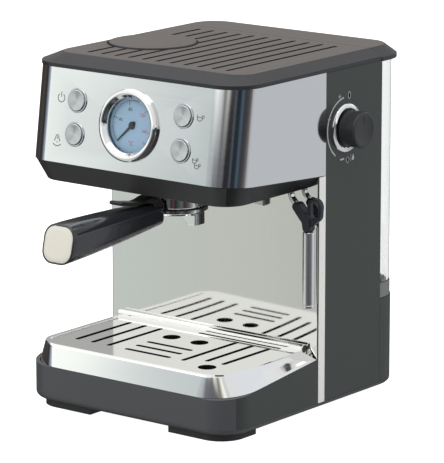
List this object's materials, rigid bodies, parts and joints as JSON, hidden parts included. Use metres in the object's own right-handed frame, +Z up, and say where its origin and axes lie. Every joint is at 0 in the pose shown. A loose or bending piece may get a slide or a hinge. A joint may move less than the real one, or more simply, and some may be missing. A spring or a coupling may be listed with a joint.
{
  "type": "espresso machine",
  "caption": "Pump espresso machine with a steel-clad head, gauge, push buttons, portafilter, steam wand, pull-out drip tray and lift-off rear water tank.",
  "frame": {"origin": "centre of the whole object's footprint box, on the surface it stands on", "axes": "+Z up, +Y towards the water tank at the back, the handle and panel face -Y, +X to the steam knob's side"},
  "size_m": [0.2426, 0.3345, 0.3012],
  "materials": {
    "cover_dark": "satin",
    "cover_black": "satin",
    "top_satin": "satin",
    "foot_rubber": "matte",
    "steel_mirror": "polished",
    "steel_head": "polished",
    "chrome": "polished",
    "spun_steel": "spun",
    "dial": "printed",
    "needle_black": "matte",
    "case_dark": "matte",
    "lens_clear": "clear",
    "tank_clear": "clear moulded",
    "knob_dark": "satin",
    "handle_gloss": "gloss",
    "clip_black": "satin",
    "cap_cream": "satin",
    "grip_rubber": "satin",
    "brass": "machined",
    "boiler_alloy": "cast",
    "element_sheath": "heat tinted",
    "board_green": "lacquered",
    "hose_milky": "silicone",
    "pump_body": "moulded",
    "valve_red": "matte",
    "filter_white": "mesh"
  },
  "bodies": {
    "body": {"base_pan": "cover_dark", "feet": "foot_rubber", "pan_screws": "spun_steel", "rear_base": "cover_dark", "backsplash": "steel_mirror", "side_panel_left": "cover_dark", "side_panel_right": "cover_dark", "rear_panel": "cover_black", "rear_screws": "spun_steel", "head_wrap": "steel_head", "head_bottom_cover": "cover_black", "top_cover": "top_satin", "top_disc": "top_satin", "gauge_bezel": "chrome", "gauge_case": "case_dark", "gauge_dial": "dial", "gauge_lens": "lens_clear", "button_collars": "chrome", "button_switches": "case_dark", "switch_board": "board_green", "knob_ring": "chrome", "steam_valve": "brass", "group_head": "chrome", "shower_screen": "spun_steel", "group_gasket": "foot_rubber", "boiler_lower": "boiler_alloy", "boiler_upper": "boiler_alloy", "boiler_bolts": "spun_steel", "heating_element": "element_sheath", "thermostat": "element_sheath", "wand_socket": "cover_black", "pump": "pump_body", "pump_mounts": "foot_rubber", "inlet_hose": "hose_milky", "pressure_hose": "hose_milky", "steam_hose": "hose_milky", "control_board": "board_green", "cord_gland": "foot_rubber"},
    "tray": {"drip_tray": "cover_dark"},
    "grille": {"drip_grille": "steel_mirror"},
    "tank": {"water_tank": "tank_clear", "tank_valve": "valve_red", "tank_filter": "filter_white"},
    "lid": {"tank_lid": "top_satin"},
    "power_button": {"button_power": "spun_steel"},
    "steam_button": {"button_steam": "spun_steel"},
    "cup_button": {"button_cup": "spun_steel"},
    "double_button": {"button_double": "spun_steel"},
    "needle": {"gauge_needle": "needle_black"},
    "knob": {"steam_knob": "knob_dark", "valve_spindle": "spun_steel"},
    "portafilter": {"portafilter_body": "chrome", "portafilter_spout": "chrome", "filter_basket": "spun_steel", "portafilter_handle": "handle_gloss", "handle_cap": "cap_cream"},
    "clip": {"basket_clip": "clip_black"},
    "wand": {"wand_pipe": "chrome", "wand_grip": "grip_rubber"},
    "sleeve": {"frothing_sleeve": "chrome"}
  },
  "joints": [
    {"name": "tray_slide", "type": "slide", "parent": "body", "child": "tray", "axis": [0, -1, 0], "range_m": [0, 0.13]},
    {"name": "grille_lift", "type": "slide", "parent": "tray", "child": "grille", "axis": [0, 0, 1], "range_m": [0, 0.035]},
    {"name": "tank_lift", "type": "slide", "parent": "body", "child": "tank", "axis": [0, 0, 1], "range_m": [0, 0.12]},
    {"name": "lid_lift", "type": "slide", "parent": "tank", "child": "lid", "axis": [0, 0, 1], "range_m": [0, 0.06]},
    {"name": "power_press", "type": "slide", "parent": "body", "child": "power_button", "axis": [0, 0.9903, -0.1392], "range_m": [0, 0.0015], "stiffness_N_per_m": 400, "springref_m": -0.0005},
    {"name": "steam_press", "type": "slide", "parent": "body", "child": "steam_button", "axis": [0, 0.9903, -0.1392], "range_m": [0, 0.0015], "stiffness_N_per_m": 400, "springref_m": -0.0005},
    {"name": "cup_press", "type": "slide", "parent": "body", "child": "cup_button", "axis": [0, 0.9903, -0.1392], "range_m": [0, 0.0015], "stiffness_N_per_m": 400, "springref_m": -0.0005},
    {"name": "double_press", "type": "slide", "parent": "body", "child": "double_button", "axis": [0, 0.9903, -0.1392], "range_m": [0, 0.0015], "stiffness_N_per_m": 400, "springref_m": -0.0005},
    {"name": "needle_sweep", "type": "hinge", "parent": "body", "child": "needle", "pos_m": [-0.00825, -0.07373, 0.25192], "axis": [0, 0.9903, -0.1392], "range_deg": [0, 270]},
    {"name": "knob_turn", "type": "hinge", "parent": "body", "child": "knob", "pos_m": [0.11075, 0.0749, 0.2406], "axis": [1, 0, 0], "range_deg": [0, 160]},
    {"name": "portafilter_lock", "type": "hinge", "parent": "body", "child": "portafilter", "pos_m": [-0.00925, -0.0117, 0.18], "axis": [0, 0, 1], "range_deg": [-45, 0]},
    {"name": "clip_flip", "type": "hinge", "parent": "portafilter", "child": "clip", "pos_m": [-0.00925, -0.0482, 0.1858], "axis": [-1, 0, 0], "range_deg": [0, 10]},
    {"name": "wand_swivel", "type": "hinge", "parent": "body", "child": "wand", "pos_m": [0.08125, 0.0273, 0.198], "axis": [0, 0, 1], "range_deg": [-100, 0]},
    {"name": "sleeve_pull", "type": "slide", "parent": "wand", "child": "sleeve", "axis": [0, 0, -1], "range_m": [0, 0.03]}
  ]
}
